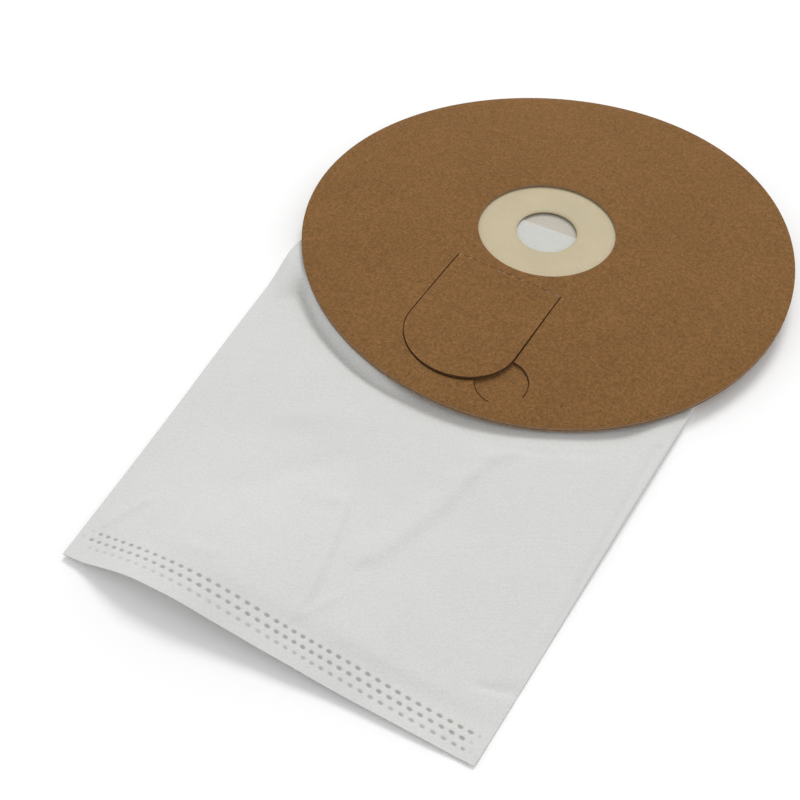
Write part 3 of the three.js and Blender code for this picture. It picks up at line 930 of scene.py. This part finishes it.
def seam_height(bag, x, y):
    """Height of the closed seam: more at the sides, where the gussets are welded in."""
    inward = half_width(bag, y) - SEAM_GUSSET
    by_side = smooth(np.abs(x - BAG_OFFSET), inward - 6 * MM, inward + 1 * MM)
    return mix(SEAM_MIDDLE, SEAM_SIDE, by_side)


def puff(x, y):
    """The cloth swells beyond the weld, most of all at the right."""
    rise = window(y, HEM + 15 * MM, HEM + 24 * MM, HEM + 50 * MM, HEM + HEM_RISE)
    return mix(SWELL_LEFT, SWELL_RIGHT, smooth(x, -30 * MM, 85 * MM)) * rise


def crumple(x, y):
    """Low soft waves of a bag that has lain folded in its pack."""
    waves = [
        noise.noise(Vector((px * 22, py * 15, 0.3)))
        + 0.5 * noise.noise(Vector((px * 48, py * 36, 1.7)))
        for px, py in zip(np.ravel(x), np.ravel(y))
    ]
    return np.reshape(waves, np.shape(x)) * CRUMPLE


def bag_top(bag, x, y):
    """Height of the front cloth: lying free, or held up under the collar and by its rim."""
    across = np.abs(x - BAG_OFFSET) / half_width(bag, y)
    fill = fill_share(y)
    opened = mix(bag.edge, bag.middle, 1 - across ** 4)
    free = hem_wave(bag, x, y) + mix(seam_height(bag, x, y), opened, fill)
    free = free + fold_height(x, y) + (puff(x, y) + crumple(x, y) * fill) * (1 - across ** 6)
    radius, angle = np.hypot(x, y), np.degrees(np.arctan2(y, x))
    under_collar = MOUTH_TOP - droop_over_bag(x, y)
    by_rim = window(angle, *RIM_HELD)
    by_side = smooth(across, *BAG_SIDE)
    strip_end = mix(STRIP_END, STRIP_END_AT_SIDE, by_side)
    held = by_rim * (1 - smooth(radius, STRIP_START, strip_end))
    held = np.maximum(held, 1 - smooth(radius, GLUED_RADIUS, FREE_RADIUS)) * held_share(y)
    dip = bell(radius, DIP_RADIUS, DIP_REACH) + by_rim * bell(radius, CREASE_RADIUS, CREASE_REACH)
    free = free - RIM_DEPTH * dip * window(angle, *RIM_DIP) * (1 - by_side)
    height = mix(free, under_collar, held)
    limit = under_collar - 0.5 * MM * smooth(radius, GLUED_RADIUS, FREE_RADIUS)
    return np.where(radius < BOW_RADIUS + 14 * MM, np.minimum(height, limit), height)


def hem_rows():
    """Mesh rows in the weld band: place, row of dashes, distance from its middle in millimetres."""
    rows = [(d, -1, 0.0) for d in (0.0, 0.6, 1.5, 3.0, 4.2)]
    for index, (distance, *_) in enumerate(WELD_ROWS):
        rows += [(distance + offset, index, offset) for offset in DASH_ROWS]
    rows += [(16.6, -1, 0.0), (18.2, -1, 0.0)]
    return [(HEM + d * MM, index, offset) for d, index, offset in rows]


def body_rows():
    """Mesh rows beyond the weld, closest by the folds and where the rim meets the cloth."""
    runs = (
        (HEM + WELD_BAND, -250 * MM, 12),
        (-250 * MM, -152 * MM, 32),
        (-152 * MM, -66 * MM, 58),
        (-66 * MM, -36 * MM, 10),
        (-36 * MM, 0, 15),
        (0, 9 * MM, 8),
        (9 * MM, 36 * MM, 8),
        (36 * MM, FAR_END, 14),
    )
    rows = [HEM + WELD_BAND]
    for start, end, steps in runs:
        rows += [mix(start, end, i / steps) for i in range(1, steps + 1)]
    return rows


def weld_shift(x, y):
    """How far a row of the mesh moves along the bag, to run askew as the weld does."""
    share = smooth(y, HEM, HEM + 5 * MM) * (1 - smooth(y, HEM + WELD_BAND, HEM + 4 * WELD_BAND))
    return WELD_SLOPE * (x - WELD_MIDDLE) * share


def front_places(flat, columns, y):
    """Mesh columns across the front cloth: nearly even, closer by the right side's fold."""
    even = np.linspace(WELD_FROM, WELD_TO, columns)
    drift_places = np.linspace(WELD_DRIFT_FROM, WELD_DRIFT_TO, len(WELD_DRIFT))
    places = even + MM * np.interp(even, drift_places, WELD_DRIFT)
    places += WELD_FAN * np.linspace(0, 1, columns) * (1 - smooth(y, HEM, HEM + 15 * MM))
    for place, side in ((places[0], BAG_OFFSET - flat), (places[-1], BAG_OFFSET + flat)):
        reach = 4 * abs(side - place) + 2 * MM
        places = places + (side - place) * (1 - smooth(np.abs(even - place), 0, reach))
    from_right = places[-1] - places
    closer = from_right * (0.45 + 0.55 * smooth(from_right, 0, 26 * MM))
    return places[-1] - mix(from_right, closer, smooth(y, HEM + WELD_BAND, HEM + 3 * WELD_BAND))


def section(bag, y, columns):
    """Outer face of the cloth round the bag at y: front, right gusset, back, left gusset."""
    half = float(half_width(bag, np.float64(y)))
    flat = half - EDGE_BEAD
    fill = float(fill_share(np.float64(y)))
    gap = mix(SEAM_GAP, GUSSET_GAP, fill)
    front_x = front_places(flat, columns, y)
    front_z = bag_top(bag, front_x, y + weld_shift(front_x, y))
    back_x = BAG_OFFSET + flat * np.linspace(-1, 1, BACK_COLUMNS)
    back_z = bag_underside(bag, back_x, y + weld_shift(back_x, y))
    front = list(zip(front_x, front_z))
    back = list(zip(back_x, back_z))[::-1]

    def gusset(side, high, low):
        edge = BAG_OFFSET + side * flat
        middle = (high + low) / 2
        crease = BAG_OFFSET + side * (half - float(gusset_depth(bag, np.float64(y))))
        points = []
        for top, bottom in ((high, middle + gap / 2), (middle - gap / 2, low)):
            centre, radius = (top + bottom) / 2, (top - bottom) / 2
            bead = [
                (edge + side * EDGE_BEAD * math.sin(a), centre + radius * math.cos(a))
                for a in np.linspace(0, math.pi, BEAD_STEPS)[1:-1]
            ]
            points.append(bead)
        inward = np.linspace(edge, crease, GUSSET_STEPS)
        midway = (np.interp(inward, front_x, front_z) + np.interp(inward, back_x, back_z)) / 2
        parting = np.linspace(gap / 2, gap / 5, GUSSET_STEPS)
        upper = list(zip(inward, midway + parting))
        lower = list(zip(inward, midway - parting))
        return points[0] + upper + lower[::-1] + points[1]

    right = gusset(1, front[-1][1], back[0][1])
    left = gusset(-1, front[0][1], back[-1][1])[::-1]
    return front, right + back + left


def pressed_dashes(index, offset, columns):
    """How deep each mesh column is pressed at this distance from the middle of a row of dashes."""
    _, shift, first, last, left, right = WELD_ROWS[index]
    step = (WELD_TO - WELD_FROM) / WELD_COLUMNS / MM
    weld = np.zeros(columns)
    for k in range(first, last + 1):
        from_end = min(k - first, last - k)
        firm = (FAINT_END if from_end == 0 else 1.0) * mix(left, right, k / last)
        firm *= 1 + UNEVENNESS * noise.noise(Vector((k * 0.9, index * 7.3, 0.5)))
        centre = WELD_FIRST + shift + WELD_STEP * k
        for column in range(centre - 2, centre + 3):
            away = math.hypot(2 * (column - centre) * step / DASH_LENGTH, 2 * offset / DASH_WIDTH)
            weld[column] = max(weld[column], firm * (1 - smooth(away, 0.5, 1.25)))
    return weld


def build_bag_mesh(bag):
    """The bag as one tube of cloth: fine in the weld band, coarser beyond it."""
    points, faces, welds, loops = [], [], [], []
    rows = [(y, index, offset, WELD_COLUMNS + 1) for y, index, offset in hem_rows()]
    rows += [(y, -1, 0.0, WELD_COLUMNS // 2 + 1) for y in body_rows()]
    for y, index, offset, columns in rows:
        front, rest = section(bag, y, columns)
        start = len(points)
        weld = pressed_dashes(index, offset, columns) if index >= 0 else np.zeros(columns)
        for (x, z), w in zip(front, weld):
            points.append((x, y + weld_shift(x, y), z - DASH_DEPTH * w))
            welds.append(w)
        for x, z in rest:
            points.append((x, y + weld_shift(x, y), z))
            welds.append(0.0)
        loops.append((start, columns, len(front) + len(rest)))
    for (start, columns, size), (after, next_columns, next_size) in zip(loops, loops[1:]):
        if columns == next_columns:
            faces += [
                (start + i, start + (i + 1) % size, after + (i + 1) % size, after + i)
                for i in range(size)
            ]
            continue
        for k in range(next_columns - 1):
            a, b, c = start + 2 * k, start + 2 * k + 1, start + 2 * k + 2
            d, e = after + k, after + k + 1
            faces += [(a, b, d), (b, e, d), (b, c, e)]
        for i in range(size - columns + 1):
            a = start + columns - 1 + i
            b = start + (columns + i) % size
            d = after + next_columns - 1 + i
            e = after + (next_columns + i) % next_size
            faces.append((a, b, e, d))
    return np.array(points), faces, np.array(welds)


def open_mouth(mesh_points, faces):
    """Drops the front cloth's faces inside the mouth, and rounds the rim that they leave."""
    x, y, z = mesh_points.T
    radius = np.hypot(x, y)
    inside = (radius < MOUTH_RADIUS) & (z > MOUTH_CUT)
    kept = [face for face in faces if not all(inside[list(face)])]
    dropped = {v for face in faces if all(inside[list(face)]) for v in face}
    rim = dropped & {v for face in kept for v in face}
    for v in rim:
        scale = MOUTH_RADIUS / radius[v]
        mesh_points[v, 0] *= scale
        mesh_points[v, 1] *= scale
    return kept


def hole_shade_share(points):
    """Share of painted shade under the hose hole: 0.5 on the back cloth before its fold, 1 on the
    part beyond it, which is painted in beige shade.
    """
    x, y = points[:, 0] - COLLAR_MIDDLE.x, points[:, 1] - COLLAR_MIDDLE.y
    in_hole = 1 - smooth(np.hypot(x, y), 30 * MM, 34 * MM)
    return mix(0.5, 1.0, smooth(y, 3.6 * MM, 4.6 * MM)) * in_hole


class DUSTBAG_OT_cloth(Operator):
    """Lofts the gusseted bag of non-woven cloth with its welded hem"""

    bl_idname = "dust_bag.cloth"
    bl_label = "Cloth bag"

    def execute(self, context):
        bag = context.scene.dust_bag_bag
        points, faces, welds = build_bag_mesh(bag)
        faces = open_mouth(points, faces)
        used = sorted({v for face in faces for v in face})
        new_index = {v: i for i, v in enumerate(used)}
        points, welds = points[used], welds[used]
        fill = fill_share(points[:, 1])
        points[:, 0] += COLLAR_MIDDLE.x
        points[:, 1] += COLLAR_MIDDLE.y
        mesh = bpy.data.meshes.new("bag_cloth")
        mesh.from_pydata(points.tolist(), [], [[new_index[v] for v in face] for face in faces])
        weld = mesh.attributes.new("weld", "FLOAT", "POINT")
        weld.data.foreach_set("value", welds.astype(np.float32))
        # The cloth under the hose hole gets painted shade through this attribute
        painted_hole_shade = mesh.attributes.new("painted_hole_shade", "FLOAT", "POINT")
        painted_hole_shade.data.foreach_set("value", hole_shade_share(points).astype(np.float32))
        cloth = bpy.data.objects.new("bag_cloth", mesh)
        context.scene.collection.objects.link(cloth)
        thickness = mix(HEM_CLOTH, bag.cloth, fill) - WELD_THINNING * welds
        group = cloth.vertex_groups.new(name="thickness")
        for i, value in enumerate(thickness / bag.cloth):
            group.add([i], float(value), "REPLACE")
        apply_modifier(cloth, "SOLIDIFY", thickness=bag.cloth, offset=-1, vertex_group="thickness")
        cloth.vertex_groups.clear()
        choose(cloth)
        bpy.ops.object.shade_smooth_by_angle(angle=math.radians(60))
        cloth.data.materials.append(cloth_finish(context.scene.dust_bag_finish))
        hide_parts("filter_bag")
        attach(cloth, "root")
        return {"FINISHED"}


# Stage

FLOOR_SIZE = 8
FLOOR_HEIGHT = -0.1 * MM
LAMP_PLACE = (-1.04, 4.95, 6.03)
LAMP_SIZE = 3.2
LAMP_AIM = Vector((0, 0.02, 0))


def floor_finish(settings):
    f = Finish("plain floor")
    return f.wear(rgba(settings.floor_color), 1.0, 0.0)


class DUSTBAG_OT_stage(Operator):
    """Makes the pale floor, the soft light and the camera"""

    bl_idname = "dust_bag.stage"
    bl_label = "Stage"

    def execute(self, context):
        stage = context.scene.dust_bag_stage
        deselect_all()
        bpy.ops.mesh.primitive_plane_add(size=FLOOR_SIZE, location=(0, 0, FLOOR_HEIGHT))
        floor = context.active_object
        floor.name = floor.data.name = "floor"
        floor.data.materials.append(floor_finish(stage))
        world = bpy.data.worlds.new("even light")
        world.use_nodes = True
        context.scene.world = world
        background = world.node_tree.nodes["Background"]
        background.inputs["Color"].default_value = (1, 1, 1, 1)
        rays = world.node_tree.nodes.new("ShaderNodeLightPath")
        strength = stage.sky
        for ray in ("Is Camera Ray", "Is Glossy Ray", "Is Transmission Ray"):
            seen = world.node_tree.nodes.new("ShaderNodeMath")
            seen.operation = "MAXIMUM"
            world.node_tree.links.new(rays.outputs[ray], seen.inputs[0])
            if ray == "Is Camera Ray":
                seen.inputs[1].default_value = strength
            else:
                world.node_tree.links.new(strength, seen.inputs[1])
            strength = seen.outputs[0]
        world.node_tree.links.new(strength, background.inputs["Strength"])
        bpy.ops.object.light_add(type="AREA", location=LAMP_PLACE)
        lamp = context.active_object
        lamp.name = "soft lamp"
        lamp.data.shape = "DISK"
        lamp.data.size = LAMP_SIZE
        lamp.data.energy = stage.key
        aim = LAMP_AIM - lamp.location
        lamp.rotation_euler = aim.to_track_quat("-Z", "Y").to_euler()
        bpy.ops.object.camera_add(location=stage.camera_place, rotation=stage.camera_turn)
        camera = context.active_object
        camera.data.lens = stage.lens
        camera.data.sensor_width = 36
        camera.data.clip_start = 0.01
        camera.data.clip_end = 50
        context.scene.camera = camera
        context.scene.view_settings.view_transform = "Standard"
        return {"FINISHED"}


class DUSTBAG_PT_panel(Panel):
    """Sizes, colours and pieces of the dust bag"""

    bl_idname = "DUSTBAG_PT_panel"
    bl_label = "Dust bag"
    bl_space_type = "VIEW_3D"
    bl_region_type = "UI"
    bl_category = "Dust bag"

    def draw(self, context):
        for group in ("collar", "seal", "bag", "finish", "stage"):
            settings = getattr(context.scene, f"dust_bag_{group}")
            box = self.layout.box()
            box.label(text=group.capitalize())
            for name in settings.__annotations__:
                box.prop(settings, name)
        for operator in OPERATORS:
            self.layout.operator(operator.bl_idname)


GROUPS = {
    "dust_bag_collar": CollarSettings,
    "dust_bag_seal": SealSettings,
    "dust_bag_bag": BagSettings,
    "dust_bag_finish": FinishSettings,
    "dust_bag_stage": StageSettings,
}
OPERATORS = (
    DUSTBAG_OT_front_board,
    DUSTBAG_OT_back_board,
    DUSTBAG_OT_seal,
    DUSTBAG_OT_cloth,
    DUSTBAG_OT_stage,
)


def register():
    for item in (*GROUPS.values(), *OPERATORS, DUSTBAG_PT_panel):
        bpy.utils.register_class(item)
    for name, group in GROUPS.items():
        setattr(bpy.types.Scene, name, PointerProperty(type=group))


def unregister():
    for name in GROUPS:
        delattr(bpy.types.Scene, name)
    for item in reversed((*GROUPS.values(), *OPERATORS, DUSTBAG_PT_panel)):
        bpy.utils.unregister_class(item)


def main():
    register()
    bpy.ops.dust_bag.front_board()
    bpy.ops.dust_bag.back_board()
    bpy.ops.dust_bag.seal()
    bpy.ops.dust_bag.cloth()
    bpy.ops.dust_bag.stage()


if __name__ == "__main__":
    main()
